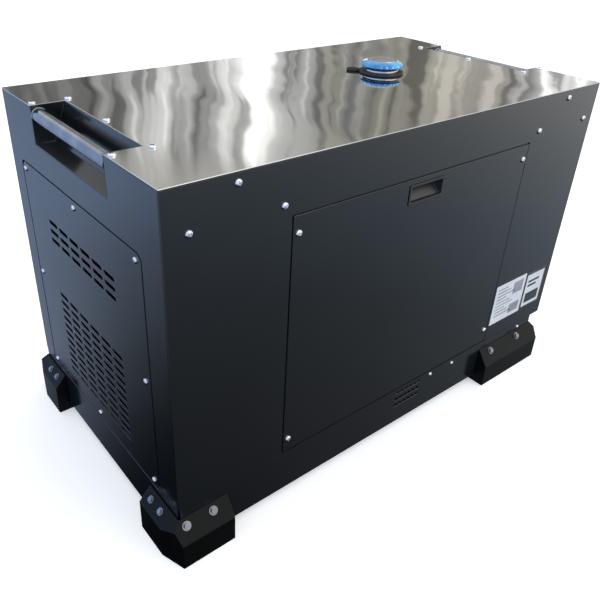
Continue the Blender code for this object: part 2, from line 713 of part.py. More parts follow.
def socket(number, x, z, side, bore):
    """A surface socket with a round well and a lid hinged along its upper edge."""
    half, depth, lid = side / 2, 0.014, 0.003
    body = box(f"socket_{number}", (x - half, ON_FACE, z - half), (x + half, ON_FACE + depth, z + half), GREY)
    well = rod(
        f"socket_well_{number}", (x, ON_FACE + 0.003, z), (x, ON_FACE + 0.05, z), bore, sides=28
    )
    combine(soften(body, 0.0015), well)
    hinge = Vector((x, ON_FACE + depth + 0.0023, z + half - 0.002))
    bm = bmesh.new()
    bmesh.ops.create_cube(bm, size=1.0)
    bmesh.ops.scale(bm, vec=(side - 0.004, lid, side + 0.002), verts=bm.verts)
    bmesh.ops.translate(bm, vec=(0, GAP + lid / 2 - 0.0023, 0.001 - (side + 0.002) / 2), verts=bm.verts)
    cover = object_from(bm, f"socket_lid_{number}")
    cover.location = hinge
    put(cover, GREY)


def main():
    base_tray()
    feet()
    top_cover()
    front_panel()
    door_frame()
    service_door()
    door_pull_cup()
    rear_panel()
    for side, left in (("left", True), ("right", False)):
        end_panel(f"{side}_end_panel", left)
        vent_panel(f"{side}_vent_panel", left)
        handle_recess(f"{side}_handle_recess", left)
        handle_bar(f"{side}_handle_bar", left)
    fuel_tank()
    filler()
    rails_and_mounts()
    engine()
    rotating_group()
    ancillaries()
    control_panel()
    key_switch()
    stop_switch()
    breaker()
    socket(1, 0.950, 0.400, 0.056, 0.0205)
    socket(2, 0.765, 0.385, 0.076, 0.0290)


main()
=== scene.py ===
"""Looks for the portable generator: bevelled sheet panels, rounded vent slots, fasteners, the
faceted fuel cap, blank labels, materials, lights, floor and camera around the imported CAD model.

Pieces are built in cabinet coordinates, as the CAD is: metres, x from the cabinet's left end, y
from its front, z from its lower edge."""

import json
import math

import bmesh
import bpy
from mathutils import Matrix, Vector

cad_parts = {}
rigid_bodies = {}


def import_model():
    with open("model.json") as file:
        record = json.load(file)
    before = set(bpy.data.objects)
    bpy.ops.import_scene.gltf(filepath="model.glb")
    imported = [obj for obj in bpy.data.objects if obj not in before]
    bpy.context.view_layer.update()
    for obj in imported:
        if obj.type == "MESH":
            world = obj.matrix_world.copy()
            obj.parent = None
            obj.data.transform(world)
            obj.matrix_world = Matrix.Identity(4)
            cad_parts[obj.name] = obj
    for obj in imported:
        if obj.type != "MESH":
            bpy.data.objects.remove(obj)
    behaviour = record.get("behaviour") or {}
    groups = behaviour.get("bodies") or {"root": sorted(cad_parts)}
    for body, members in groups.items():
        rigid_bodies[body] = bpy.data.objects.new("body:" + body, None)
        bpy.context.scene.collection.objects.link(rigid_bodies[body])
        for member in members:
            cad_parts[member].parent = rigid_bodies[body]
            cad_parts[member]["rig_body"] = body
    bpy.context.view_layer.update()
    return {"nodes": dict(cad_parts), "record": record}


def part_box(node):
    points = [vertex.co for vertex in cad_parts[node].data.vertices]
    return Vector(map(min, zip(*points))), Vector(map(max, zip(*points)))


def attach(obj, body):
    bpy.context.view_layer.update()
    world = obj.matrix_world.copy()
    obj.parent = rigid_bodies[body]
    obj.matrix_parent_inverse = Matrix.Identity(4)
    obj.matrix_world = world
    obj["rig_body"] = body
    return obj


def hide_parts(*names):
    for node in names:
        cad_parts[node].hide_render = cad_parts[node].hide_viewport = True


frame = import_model()

# ---------------------------------------------------------------- places, read from the frame
top_low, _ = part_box("top_cover")
tray_low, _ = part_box("base_tray")
CORNER = Vector((top_low.x, top_low.y, tray_low.z))     # the cabinet's lower front left corner
SLOTS = {part["node"]: part["material_slot"] for part in frame["record"]["subparts"]}


def inside(node):
    """A node's box in cabinet coordinates."""
    low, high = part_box(node)
    return low - CORNER, high - CORNER


LENGTH, WIDTH, HEIGHT = inside("top_cover")[1]
SHEET = 0.002
GAP = 0.0003                            # between a sheet and the piece beside it
BAND = inside("base_tray")[1].z
DOOR_LOW, DOOR_HIGH = inside("service_door")
DOOR_REVEAL = (0.003, 0.001, 0.003)     # left, right and above the door
EDGE = 0.0006                           # rounding of a cut sheet edge
FOLD = 0.0009                           # rounding of a folded edge
SCREW_RADIUS = 0.0064
VENT_CORNER = 0.015
FOAM_THICKNESS = 0.004
TETHER_TURN = math.radians(133)         # where the cap tether's lug points
# slanted plates of a foot: height of its fold, height where it meets the tray, how far the fold
# stands out, and how far up the slope its bolts are
FRONT_PLATE = (0.038, 0.077, 0.028, 0.66)
END_PLATE = (0.050, 0.080, 0.026, 0.52)
FRONT_BOLTS = {"left": (0.010, 0.066), "right": (0.891, 1.000)}     # x
END_BOLTS = (0.044, 0.078)                                          # y from the front or the rear
UP = (0, 0, 1)
PLANES = {
    "X": Matrix(((0, 0, 1), (1, 0, 0), (0, 1, 0))),      # outline in y, z
    "Y": Matrix(((1, 0, 0), (0, 0, -1), (0, 1, 0))),     # outline in x, z
    "Z": Matrix.Identity(3),                             # outline in x, y
}


def mirrored(x):
    return LENGTH - x


# ---------------------------------------------------------------- node materials
def set_stops(ramp, stops):
    """Gives a ramp node its stops, each a position and a colour, where one number is a grey."""
    elements = ramp.color_ramp.elements
    while len(elements) < len(stops):
        elements.new(0.5)
    for element, (position, colour) in zip(elements, stops):
        element.position = position
        element.color = (*colour, 1) if isinstance(colour, tuple) else (colour, colour, colour, 1)


class Surface:
    """A Principled material and the few texture nodes that the finishes below are made of."""

    def __init__(self, name, metallic=0.0, roughness=0.5, **sockets):
        self.material = bpy.data.materials.new(name)
        self.material.use_nodes = True
        self.tree = self.material.node_tree
        self.shader = self.tree.nodes["Principled BSDF"]
        self.shader.inputs["Metallic"].default_value = metallic
        self.shader.inputs["Roughness"].default_value = roughness
        for socket, value in sockets.items():
            self.shader.inputs[socket.replace("_", " ")].default_value = value
        self.place = self.tree.nodes.new("ShaderNodeTexCoord").outputs["Object"]
        self.height = None

    def link(self, source, target):
        self.tree.links.new(source, target)

    def noise(self, scale, detail=3.0, stretch=(1, 1, 1)):
        mapping = self.tree.nodes.new("ShaderNodeMapping")
        mapping.inputs["Scale"].default_value = stretch
        self.link(self.place, mapping.inputs["Vector"])
        noise = self.tree.nodes.new("ShaderNodeTexNoise")
        noise.inputs["Scale"].default_value = scale
        noise.inputs["Detail"].default_value = detail
        self.link(mapping.outputs["Vector"], noise.inputs["Vector"])
        return noise.outputs["Fac"]

    def colour(self, source, *stops):
        ramp = self.tree.nodes.new("ShaderNodeValToRGB")
        set_stops(ramp, stops)
        self.link(source, ramp.inputs["Fac"])
        self.link(ramp.outputs["Color"], self.shader.inputs["Base Color"])

    def rough(self, source, low, high):
        spread = self.tree.nodes.new("ShaderNodeMapRange")
        spread.inputs["From Min"].default_value = 0.3
        spread.inputs["From Max"].default_value = 0.7
        spread.inputs["To Min"].default_value = low
        spread.inputs["To Max"].default_value = high
        self.link(source, spread.inputs["Value"])
        self.link(spread.outputs["Result"], self.shader.inputs["Roughness"])

    def bump(self, source, distance, strength=1.0):
        bump = self.tree.nodes.new("ShaderNodeBump")
        bump.inputs["Strength"].default_value = strength
        bump.inputs["Distance"].default_value = distance
        self.link(source, bump.inputs["Height"])
        if self.height:
            self.link(self.height, bump.inputs["Normal"])
        self.height = bump.outputs["Normal"]
        self.link(self.height, self.shader.inputs["Normal"])


def painted(name, dark, light, coat=0.25, roughness=(0.14, 0.20), specular=0.5):
    """Gloss paint on sheet steel: a faint flow in the colour, orange peel and a slight buckle."""
    paint = Surface(name, Coat_Weight=coat, Coat_Roughness=0.04, Specular_IOR_Level=specular)
    paint.colour(paint.noise(1.6, 4), (0.35, dark), (0.65, light))
    paint.rough(paint.noise(9, 5), *roughness)
    paint.bump(paint.noise(1.7, 1), 0.0030, 0.25)
    paint.bump(paint.noise(420, 2), 0.00003, 0.4)
    return paint.material


def polished():
    """Polished steel sheet: wide ripples, faint rolling lines and wiping haze."""
    steel = Surface("polished_steel_look", metallic=1.0)
    steel.colour(steel.noise(2.2, 4), (0.3, (0.50, 0.50, 0.49)), (0.7, (0.66, 0.655, 0.63)))
    steel.rough(steel.noise(5, 6, (1, 2, 1)), 0.025, 0.07)
    steel.bump(steel.noise(2.6, 1.5, (1.6, 0.7, 1)), 0.012, 0.55)
    steel.bump(steel.noise(1.0, 3, (12, 420, 12)), 0.00006, 0.35)
    return steel.material


def finish(name, dark, light, roughness, noises, relief, **sockets):
    """Noise in the colour, the roughness and the relief; noises are their scales and details, and
    relief is the bump's distance and strength."""
    surface = Surface(name, **sockets)
    blotches, haze, grain = (surface.noise(*noise) for noise in noises)
    surface.colour(blotches, (0.3, dark), (0.7, light))
    surface.rough(haze, *roughness)
    surface.bump(grain, *relief)
    return surface.material


def metal(name, dark, light, roughness, grain):
    return finish(name, dark, light, roughness, ((24, 5), (60, 4), (grain, 3)), (0.00008, 0.5),
                  metallic=1.0)


def cast(name, dark, light, roughness, metallic):
    """Sand or die cast surface: grainy, with a blotchy colour."""
    return finish(name, dark, light, roughness, ((38, 6), (90, 4), (300, 4)), (0.0003, 0.6),
                  metallic=metallic)


def moulded(name, dark, light, roughness, grain=700, **sockets):
    """Moulded plastic or rubber with a fine grain."""
    return finish(name, dark, light, roughness, ((30, 4), (50, 4), (grain, 2)), (0.00010, 0.5),
                  **sockets)


LOOKS = {
    "gloss_anthracite": painted("anthracite_look", (0.006, 0.008, 0.010), (0.009, 0.011, 0.014)),
    "polished_steel": polished(),
    "black_paint": painted("black_paint_look", 0.002, 0.003, 0.0, (0.30, 0.42), 0.16),
    "zinc_steel": metal("zinc_look", (0.38, 0.39, 0.41), (0.62, 0.63, 0.65), (0.20, 0.38), 260),
    "chrome": metal("chrome_look", (0.74, 0.74, 0.76), (0.86, 0.86, 0.87), (0.05, 0.12), 500),
    "cast_aluminium": cast("aluminium_look", (0.38, 0.39, 0.40), (0.60, 0.61, 0.62),
                           (0.38, 0.58), 1.0),
    "cast_iron": cast("iron_look", (0.05, 0.05, 0.055), (0.13, 0.12, 0.12), (0.50, 0.70), 0.6),
    "rubber": moulded("rubber_look", 0.012, 0.026, (0.55, 0.75)),
    "black_plastic": moulded("black_plastic_look", (0.012, 0.012, 0.013), (0.022, 0.022, 0.023),
                             (0.32, 0.46)),
    "blue_cap": moulded("blue_cap_look", (0.00, 0.11, 0.38), (0.01, 0.42, 0.78), (0.08, 0.16), 260,
                        metallic=0.35, Coat_Weight=1.0, Coat_Roughness=0.03),
    "tank_plastic": moulded("tank_look", (0.040, 0.040, 0.044), (0.065, 0.065, 0.070),
                            (0.40, 0.55), 420),
    "stop_red": moulded("stop_look", (0.42, 0.012, 0.012), (0.60, 0.025, 0.02), (0.22, 0.32),
                        Coat_Weight=0.4),
    "socket_grey": moulded("socket_look", (0.20, 0.215, 0.23), (0.27, 0.285, 0.30), (0.34, 0.48)),
    "display_glass": moulded("display_look", (0.010, 0.022, 0.018), (0.016, 0.034, 0.028),
                             (0.06, 0.12), Coat_Weight=1.0),
}
BAR_STEEL = metal("bar_steel", (0.20, 0.21, 0.23), (0.34, 0.35, 0.37), (0.12, 0.24), 180)
LABEL_WHITE = moulded("label_white", (0.74, 0.75, 0.76), 0.84, (0.26, 0.36), Coat_Weight=0.3)
LABEL_INK = moulded("label_ink", 0.02, 0.05, (0.35, 0.45))
LABEL_GREY = moulded("label_grey", (0.28, 0.28, 0.29), (0.38, 0.38, 0.39), (0.35, 0.45))
FOAM = moulded("foam_look", 0.006, 0.014, (0.85, 0.95), 160)
CAP_PALE = moulded("cap_pale", (0.36, 0.34, 0.37), (0.58, 0.55, 0.58), (0.08, 0.14), 90,
                   metallic=0.8, Coat_Weight=1.0, Coat_Roughness=0.03)


# ---------------------------------------------------------------- making pieces
def mesh_from(bm, name):
    """Moves a bmesh into a new mesh."""
    mesh = bpy.data.meshes.new(name)
    bm.to_mesh(mesh)
    bm.free()
    return mesh


def linked(name, data):
    """A new object in the scene."""
    obj = bpy.data.objects.new(name, data)
    bpy.context.scene.collection.objects.link(obj)
    return obj


def piece_from(bm, name, body, slot, stands_for=(), look=None, sharp=35):
    """A smooth-shaded piece from a mesh in cabinet coordinates, with the given look or else its
    slot's look, on the body it rides on; the nodes that it stands for are hidden. Edges over sharp
    degrees stay sharp."""
    bmesh.ops.translate(bm, vec=CORNER, verts=bm.verts)
    mesh = mesh_from(bm, name)
    mesh.shade_smooth()
    mesh.set_sharp_from_angle(angle=math.radians(sharp))
    mesh.materials.append(look or LOOKS[slot])
    obj = linked(name, mesh)
    flat_faces(obj)
    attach(obj, body)
    if stands_for:
        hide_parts(*stands_for)
    return obj


def flat_faces(obj):
    """Keeps the shading of large flat faces flat right up to their rounded edges."""
    normals = obj.modifiers.new("flat_faces", "WEIGHTED_NORMAL")
    normals.mode = "FACE_AREA"
    normals.weight = 100
    normals.keep_sharp = True


def evaluated_mesh(obj):
    graph = bpy.context.evaluated_depsgraph_get()
    return bpy.data.meshes.new_from_object(obj.evaluated_get(graph))


def rounded(low, high, radius, steps=6):
    """Outline of a rectangle with round corners."""
    middle_u, middle_v = (low[0] + high[0]) / 2, (low[1] + high[1]) / 2
    points = []
    corners = [(high[0], high[1], 0), (low[0], high[1], 90), (low[0], low[1], 180),
               (high[0], low[1], 270)]
    for u, v, start in corners:
        centre_u = u - math.copysign(radius, u - middle_u)
        centre_v = v - math.copysign(radius, v - middle_v)
        for step in range(steps + 1):
            angle = math.radians(start + 90 * step / steps)
            points.append((centre_u + radius * math.cos(angle),
                           centre_v + radius * math.sin(angle)))
    return points


def grown(low, high, by, radius):
    """Outline of a rectangle that is larger by a margin on every side, with round corners."""
    return rounded((low[0] - by, low[1] - by), (high[0] + by, high[1] + by), radius)


def spaced(start, pitch, count):
    return [start + pitch * number for number in range(count)]


def slot_outline(centre, size):
    """Outline of a slot with round ends."""
    low = (centre[0] - size[0] / 2, centre[1] - size[1] / 2)
    high = (centre[0] + size[0] / 2, centre[1] + size[1] / 2)
    return rounded(low, high, min(size) / 2 - 0.0001, 5)


def circle(centre, radius, steps=48):
    angles = [2 * math.pi * step / steps for step in range(steps)]
    return [(centre[0] + radius * math.cos(a), centre[1] + radius * math.sin(a)) for a in angles]


def sheet_mesh(outline, holes, axis, low, high, edge=EDGE):
    """A flat sheet with holes and rounded edges, from low to high along an axis, as a bmesh."""
    curve = bpy.data.curves.new("sheet", "CURVE")
    curve.dimensions = "2D"
    curve.fill_mode = "BOTH"
    edge = min(edge, (high - low) / 2 * 0.9)
    curve.extrude = (high - low) / 2 - edge
    curve.bevel_depth = edge
    curve.bevel_resolution = 2
    curve.offset = -edge
    for points in (outline, *holes):
        spline = curve.splines.new("POLY")
        spline.points.add(len(points) - 1)
        for point, (u, v) in zip(spline.points, points):
            point.co = (u, v, 0, 1)
        spline.use_cyclic_u = True
    guide = linked("sheet", curve)
    mesh = evaluated_mesh(guide)
    bpy.data.objects.remove(guide, do_unlink=True)
    bm = bmesh.new()
    bm.from_mesh(mesh)
    bmesh.ops.remove_doubles(bm, verts=bm.verts, dist=0.000005)
    turn = PLANES[axis]
    middle = (high + low) / 2
    along = -middle if axis == "Y" else middle
    bmesh.ops.transform(bm, matrix=turn.to_4x4(), verts=bm.verts)
    bmesh.ops.translate(bm, vec=turn @ Vector((0, 0, along)), verts=bm.verts)
    bmesh.ops.recalc_face_normals(bm, faces=bm.faces)
    return bm


def add_mesh(bm, other):
    """Adds another bmesh to bm and frees it."""
    mesh = mesh_from(other, "added")
    bm.from_mesh(mesh)
    bpy.data.meshes.remove(mesh)


def lathe(profile, base, axis, steps=64, wave=None):
    """A closed or axis-to-axis profile of (radius, height) turned about an axis; wave(turn, index)
    scales the radius of a point."""
    bm = bmesh.new()
    turn_to = Vector(axis).to_track_quat("Z", "Y").to_matrix()
    rings = []
    for index, (radius, height) in enumerate(profile):
        if radius == 0:
            rings.append([bm.verts.new(turn_to @ Vector((0, 0, height)))])
            continue
        ring = []
        for step in range(steps):
            angle = 2 * math.pi * step / steps
            reach = radius * (wave(step / steps, index) if wave else 1)
            place = Vector((reach * math.cos(angle), reach * math.sin(angle), height))
            ring.append(bm.verts.new(turn_to @ place))
        rings.append(ring)
    closed = profile[0][0] and profile[-1][0]
    pairs = list(zip(rings, rings[1:])) + ([(rings[-1], rings[0])] if closed else [])
    for near, far in pairs:
        for step in range(steps):
            around = ((near, step), (near, step + 1), (far, step + 1), (far, step))
            corners = [ring[turn % steps % len(ring)] for ring, turn in around]
            corners = list(dict.fromkeys(corners))
            if len(corners) > 2:
                bm.faces.new(corners)
    bmesh.ops.translate(bm, vec=Vector(base), verts=bm.verts)
    bmesh.ops.recalc_face_normals(bm, faces=bm.faces)
    return bm


def softened(node, width):
    """The CAD node's own shape with its edges rounded, in place of the node."""
    source = frame["nodes"][node]
    steep = 32
    bm = bmesh.new()
    bm.from_mesh(source.data)
    bmesh.ops.remove_doubles(bm, verts=bm.verts, dist=0.00002)
    bmesh.ops.dissolve_limit(bm, angle_limit=math.radians(0.5), verts=bm.verts, edges=bm.edges)
    bmesh.ops.translate(bm, vec=-CORNER, verts=bm.verts)
    obj = piece_from(bm, node + "_soft", source["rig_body"], SLOTS[node], [node], sharp=steep)
    bevel = obj.modifiers.new("edges", "BEVEL")
    bevel.width = width
    bevel.segments = 2
    bevel.limit_method = "ANGLE"
    bevel.angle_limit = math.radians(steep)
    obj.modifiers.move(1, 0)            # the bevel comes before flat_faces


# ---------------------------------------------------------------- canopy panels
def front_sheets():
    """The sheet round the door opening, and the door with a hole for its finger pull."""
    left, right = DOOR_LOW.x - DOOR_REVEAL[0], DOOR_HIGH.x + DOOR_REVEAL[1]
    over = DOOR_HIGH.z + DOOR_REVEAL[2]
    foot_line, top = BAND + GAP, HEIGHT - SHEET - GAP
    outline = [(0, foot_line), (left, foot_line), (left, over), (right, over), (right, foot_line),
               (LENGTH, foot_line), (LENGTH, top), (0, top)]
    bm = sheet_mesh(outline, [], "Y", 0, SHEET, FOLD)
    piece_from(bm, "front_panel_sheet", "cabinet", "gloss_anthracite", ["front_panel"])
    pull_low, pull_high = inside("door_pull_cup")
    rim = 0.004
    hole = [(pull_low.x + rim, pull_low.z + rim), (pull_high.x - rim, pull_low.z + rim),
            (pull_high.x - rim, pull_high.z - rim), (pull_low.x + rim, pull_high.z - rim)]
    outline = rounded(DOOR_LOW.xz, DOOR_HIGH.xz, 0.0015, 3)
    bm = sheet_mesh(outline, [hole], "Y", 0, SHEET, FOLD)
    piece_from(bm, "service_door_sheet", "service_door", "gloss_anthracite", ["service_door"])


def finger_pull():
    """A moulded scoop: a thin rim, a mouth and a floor that slants up to a shallow back wall."""
    low, high = inside("door_pull_cup")
    rim, face, back = 0.0048, low.y, high.y
    outline = rounded(low.xz, high.xz, 0.003)
    mouth_low, mouth_high = (low.x + rim, low.z + rim), (high.x - rim, high.z - rim)
    bm = sheet_mesh(outline, [rounded(mouth_low, mouth_high, 0.002)], "Y", face, -GAP, 0.0006)
    floor_rise, inset = 0.62, 0.004     # of the back wall: how far up it starts, and how far in
    rings = [
        (face + 0.0008, mouth_low, mouth_high),
        (0.004, (mouth_low[0], mouth_low[1] + 0.001), (mouth_high[0], mouth_high[1])),
        (back - 0.0006,
         (mouth_low[0] + inset, mouth_low[1] + (mouth_high[1] - mouth_low[1]) * floor_rise),
         (mouth_high[0] - inset, mouth_high[1] - 0.001)),
    ]
    scoop = bmesh.new()
    loops = [[scoop.verts.new((u, y, v)) for u, v in rounded(a, b, 0.002)] for y, a, b in rings]
    for near, far in zip(loops, loops[1:]):
        for i in range(len(near)):
            j = (i + 1) % len(near)
            scoop.faces.new((near[i], near[j], far[j], far[i]))
    scoop.faces.new(loops[-1])
    bmesh.ops.recalc_face_normals(scoop, faces=scoop.faces)
    bmesh.ops.solidify(scoop, geom=scoop.faces[:], thickness=0.0005)
    add_mesh(bm, scoop)
    piece_from(bm, "door_pull_scoop", "service_door", "black_plastic", ["door_pull_cup"])


def foam_filter(name, low, high, axis, near, far):
    """A flat, stiff foam sheet behind slots, so that the openings opposite don't show through."""
    bm = sheet_mesh(rounded(low, high, 0.004), [], axis, near, far)
    piece_from(bm, name, "cabinet", "black_plastic", look=FOAM)


def ends():
    for side in ("left", "right"):
        end_sheet(side)
        vent_sheet(side)


def at_end(side, near, far):
    """A range of x, given inwards from one end of the cabinet."""
    return (near, far) if side == "left" else (mirrored(far), mirrored(near))


def end_sheet(side):
    """The end's sheet, notched for the hand recess, and the ring behind it that backs its vent
    panel."""
    low, high = inside(f"{side}_end_panel")
    recess_low, recess_high = inside(f"{side}_handle_recess")
    vent_low, vent_high = inside(f"{side}_vent_panel")
    reveal, lap_out, lap_in = 0.003, 0.022, 0.042
    lap_below = lap_out if side == "left" else 0.014
    near, far, under = recess_low.y - GAP, recess_high.y + GAP, recess_low.z - GAP
    outline = [(low.y, low.z), (high.y, low.z), (high.y, high.z), (far, high.z), (far, under),
               (near, under), (near, high.z), (low.y, high.z)]
    opening = grown(vent_low.yz, vent_high.yz, reveal, VENT_CORNER)
    bm = sheet_mesh(outline, [opening], "X", *at_end(side, 0, SHEET), FOLD)
    ring = rounded((vent_low.y - lap_out, vent_low.z - lap_below),
                   (vent_high.y + lap_out, vent_high.z + lap_out), 0.004)
    hole = grown(vent_low.yz, vent_high.yz, -lap_in, 0.01)
    add_mesh(bm, sheet_mesh(ring, [hole], "X", *at_end(side, SHEET + GAP, 2 * SHEET - GAP)))
    piece_from(bm, f"{side}_end_sheet", "cabinet", "gloss_anthracite", [f"{side}_end_panel"])


def vent_sheet(side):
    """A vent panel: two blocks of small slots on the left; on the right wide slots, the outlet's
    hole and a foam filter behind the upper slots."""
    low, high = inside(f"{side}_vent_panel")
    if side == "left":
        size, columns = (0.038, 0.0085), spaced(0.187, 0.0466, 6)
        rows = spaced(0.445, 0.019, 3) + spaced(0.137, 0.0185, 11)
    else:
        size, columns = (0.160, 0.010), (0.200, 0.407)
        rows = spaced(0.160, 0.025, 4) + spaced(0.480, 0.025, 3)
    holes = [slot_outline((y, z), size) for z in rows for y in columns]
    if side == "right":
        holes.append(circle((0.400, 0.360), 0.036))
    outline = rounded(low.yz, high.yz, VENT_CORNER)
    bm = sheet_mesh(outline, holes, "X", *at_end(side, 0, SHEET), FOLD)
    piece_from(bm, f"{side}_vent_sheet", "cabinet", "gloss_anthracite", [f"{side}_vent_panel"])
    if side == "right":
        behind = SHEET + GAP
        foam_filter("right_vent_foam", (0.116, 0.466), (0.490, 0.544), "X",
                    *at_end(side, behind, behind + FOAM_THICKNESS))


def top_sheet():
    """The polished top, notched at both hand recesses, with a hole for the filler."""
    recess_low, recess_high = inside("left_handle_recess")
    left_in = recess_high.x + GAP
    right_in = inside("right_handle_recess")[0].x - GAP
    near, far = recess_low.y - GAP, recess_high.y + GAP
    outline = [(0, 0), (LENGTH, 0), (LENGTH, near), (right_in, near), (right_in, far),
               (LENGTH, far), (LENGTH, WIDTH), (0, WIDTH), (0, far), (left_in, far),
               (left_in, near), (0, near)]
    bm = sheet_mesh(outline, [circle(cap_axis(), 0.034)], "Z", HEIGHT - SHEET, HEIGHT, FOLD)
    piece_from(bm, "top_sheet", "cabinet", "polished_steel", ["top_cover"])


def rear_sheet():
    """The rear sheet with its control panel's window and its louvres, and the foam behind them."""
    low, high = inside("rear_panel")
    plate_low, plate_high = inside("control_panel")
    window = grown(plate_low.xz, plate_high.xz, -0.020, 0.008)
    rows = spaced(0.200, 0.032, 8)
    slots = [slot_outline((x, z), (0.150, 0.010)) for x in (0.200, 0.400) for z in rows]
    outline = [(low.x, low.z), (high.x, low.z), (high.x, high.z), (low.x, high.z)]
    bm = sheet_mesh(outline, [window, *slots], "Y", WIDTH - SHEET, WIDTH, FOLD)
    piece_from(bm, "rear_sheet", "cabinet", "gloss_anthracite", ["rear_panel"])
    behind = low.y - GAP
    foam_filter("louvre_foam", (0.112, 0.185), (0.488, 0.440), "Y",
                behind - FOAM_THICKNESS, behind)


# ---------------------------------------------------------------- handles and filler
def handle_bars():
    """A round bar between the recess's cheeks, with a weld bead at each end."""
    ease = 0.0012
    for side in ("left", "right"):
        low, high = inside(f"{side}_handle_bar")
        centre = (low + high) / 2
        radius, length = (high.z - low.z) / 2, high.y - low.y
        bead = radius + 0.0016
        start = [(bead, 0), (bead, ease / 2), (radius + 0.0004, 1.5 * ease), (radius, 2 * ease)]
        end = [(reach, length - along) for reach, along in reversed(start)]
        bm = lathe([(0, 0), *start, *end, (0, length)], (centre.x, low.y, centre.z), (0, 1, 0), 56)
        piece_from(bm, f"{side}_carrying_bar", "cabinet", "zinc_steel", [f"{side}_handle_bar"],
                   BAR_STEEL)


def cap_axis():
    low, high = inside("fuel_cap")
    return (low.x + high.x) / 2, (low.y + high.y) / 2


def fuel_filler():
    """The chrome collar and, on the cap, a domed faceted grip ring round a pale crown, over a
    chrome skirt. The profiles are (radius, height)."""
    centre, steps = (*cap_axis(), 0), 72
    top = inside("fuel_cap")[1].z
    collar = inside("filler_neck")[1].z
    skirt = inside("cap_seal")[1].z + GAP
    profile = [(0.0371, collar), (0.0377, collar - 0.0006), (0.0377, HEIGHT + 0.0012),
               (0.0370, HEIGHT + 0.0004), (0.0325, HEIGHT + 0.0004), (0.0325, 0.650),
               (0.0290, 0.650), (0.0290, collar - 0.0006), (0.0296, collar)]
    bm = lathe(profile, centre, UP, steps)
    piece_from(bm, "filler_collar", "cabinet", "chrome", ["filler_neck"])
    facets, facet_depth = 26, 0.035

    def facet(turn, index):
        deep = 1 - facet_depth * abs(math.sin(math.pi * facets * turn)) ** 0.8
        return deep if 2 <= index <= 5 else 1

    profile = [(0.0300, skirt + 0.0004), (0.0390, skirt + 0.0004), (0.0452, skirt + 0.0020),
               (0.0468, top - 0.0120), (0.0466, top - 0.0105), (0.0440, top - 0.0067),
               (0.0385, top - 0.0034), (0.0320, top - 0.0012), (0.0300, top - 0.0016),
               (0.0296, top - 0.0050)]
    bm = lathe(profile, centre, UP, facets * 8, facet)
    piece_from(bm, "cap_grip_ring", "fuel_cap", "blue_cap", ["fuel_cap"], sharp=20)
    profile = [(0, top - 0.0006), (0.0150, top - 0.0005), (0.0260, top - 0.0002),
               (0.0288, top - 0.0006), (0.0295, top - 0.0016), (0.0295, top - 0.0050),
               (0, top - 0.0050)]
    bm = lathe(profile, centre, UP, steps)
    piece_from(bm, "cap_crown", "fuel_cap", "blue_cap", look=CAP_PALE)
    profile = [(0.0378, skirt + 0.0004), (0.0378, skirt + 0.0001), (0.0262, skirt + 0.0001),
               (0.0260, skirt - 0.0220), (0, skirt - 0.0224), (0, skirt + 0.0040),
               (0.0290, skirt + 0.0040), (0.0290, skirt + 0.0004)]
    bm = lathe(profile, centre, UP, steps)
    piece_from(bm, "cap_skirt", "fuel_cap", "chrome")


def tether():
    """The flat strap ring round the filler, and its lug with an oval eye towards the rear left."""
    centre = cap_axis()
    low = HEIGHT + GAP
    ring, hole = circle(centre, 0.0490), circle(centre, 0.0385)
    bm = sheet_mesh(ring, [hole], "Z", low, HEIGHT + 0.0040, 0.0009)
    turn = Matrix.Rotation(TETHER_TURN, 2)

    def turned(outline):
        return [Vector(centre) + turn @ Vector(place) for place in outline]

    lug = turned(rounded((0.0465, -0.009), (0.0765, 0.009), 0.0075))
    eye = turned(rounded((0.053, -0.0048), (0.0725, 0.0048), 0.0046))
    add_mesh(bm, sheet_mesh(lug, [eye], "Z", low + 0.0001, inside("cap_tether")[1].z, 0.001))
    piece_from(bm, "tether_ring", "cabinet", "rubber", ["cap_tether"])


# ---------------------------------------------------------------- fasteners
def cross_screw():
    """A pan head with a cross recess, its seat on z = 0, as a mesh."""
    rise, rim, steps = 0.0042, 0.0008, 8
    dome = [(0.0, rise)]
    for step in range(1, steps):
        angle = math.radians(90 * step / steps)
        height = rim + (rise - rim) * math.cos(angle) ** 0.75
        dome.append((SCREW_RADIUS * math.sin(angle), height))
    dome += [(SCREW_RADIUS, rim), (SCREW_RADIUS, 0.0), (0, 0.0)]
    screw = linked("screw_head", mesh_from(lathe(dome, (0, 0, 0), UP, 28), "screw_head"))
    recess = bmesh.new()
    arm, slit, deep = 0.0074, 0.0018, 0.0052
    for size in ((arm, slit, deep), (slit, arm, deep)):
        made = bmesh.ops.create_cube(recess, size=1.0)["verts"]
        bmesh.ops.scale(recess, vec=size, verts=made)
        bmesh.ops.translate(recess, vec=(0, 0, rise + 0.0002), verts=made)
    cutter = linked("screw_cross", mesh_from(recess, "screw_cross"))
    boolean = screw.modifiers.new("cross", "BOOLEAN")
    boolean.operation = "DIFFERENCE"
    boolean.object = cutter
    boolean.use_self = True
    made = evaluated_mesh(screw)
    for obj in (screw, cutter):
        bpy.data.objects.remove(obj, do_unlink=True)
    return made


def hex_bolt():
    """A hexagon head on a plain washer, its seat on z = 0, as a mesh."""
    washer, rise, radius = 0.0013, 0.0042, 0.0062
    bm = lathe([(0.0, 0.0), (0.0085, 0.0), (0.0088, 0.0004), (0.0088, 0.0010), (0.0085, washer),
                (0.0, washer)], (0, 0, 0), UP, 32)
    head = bmesh.new()
    bmesh.ops.create_cone(head, cap_ends=True, segments=6, radius1=radius, radius2=radius,
                          depth=rise)
    bmesh.ops.translate(head, vec=(0, 0, washer + rise / 2), verts=head.verts)
    bmesh.ops.bevel(head, geom=head.edges[:], offset=0.0005, segments=2, affect="EDGES",
                    profile=0.5)
    add_mesh(bm, head)
    return mesh_from(bm, "hex_bolt")


